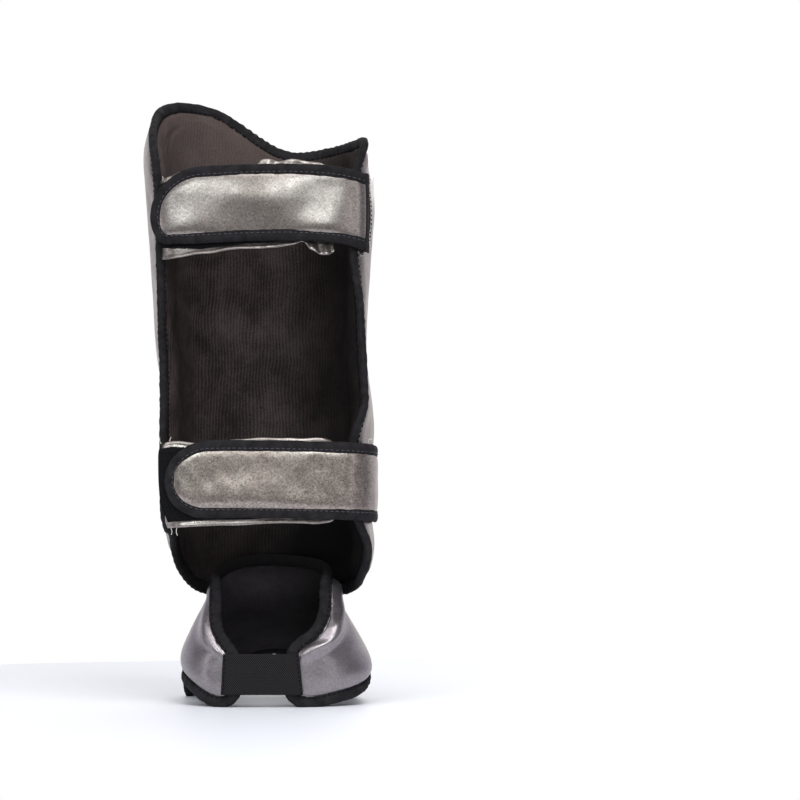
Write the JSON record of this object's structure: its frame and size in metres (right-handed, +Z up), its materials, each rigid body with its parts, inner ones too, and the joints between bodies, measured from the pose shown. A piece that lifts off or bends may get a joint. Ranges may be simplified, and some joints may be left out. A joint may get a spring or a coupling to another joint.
{
  "type": "kickboxing shin and instep guard",
  "caption": "Padded leather shin and instep guard for the left leg, open at the calf, with hook-and-loop closure straps and a heel elastic.",
  "frame": {"origin": "middle of the guard's box on the floor it stands on", "axes": "+Z up along the shin, +Y from the calf side to the shin and toes, +X to the wearer's right"},
  "size_m": [0.1895, 0.1879, 0.4884],
  "materials": {
    "pewter_leather": "satin metallic",
    "black_binding": "matte",
    "brown_black_lining": "brushed matte",
    "black_loop_tape": "matte pile",
    "black_elastic": "matte woven"
  },
  "bodies": {
    "root": {"shin_cover": "pewter_leather", "shin_lining": "brown_black_lining", "shin_binding": "black_binding", "instep_cover": "pewter_leather", "instep_lining": "brown_black_lining", "instep_binding": "black_binding", "heel_elastic": "black_elastic", "upper_strap": "pewter_leather", "upper_strap_binding": "black_binding", "upper_flap": "pewter_leather", "upper_loop_patch": "black_loop_tape", "lower_strap": "pewter_leather", "lower_strap_binding": "black_binding", "lower_flap": "pewter_leather", "lower_loop_patch": "black_loop_tape"}
  },
  "joints": []
}
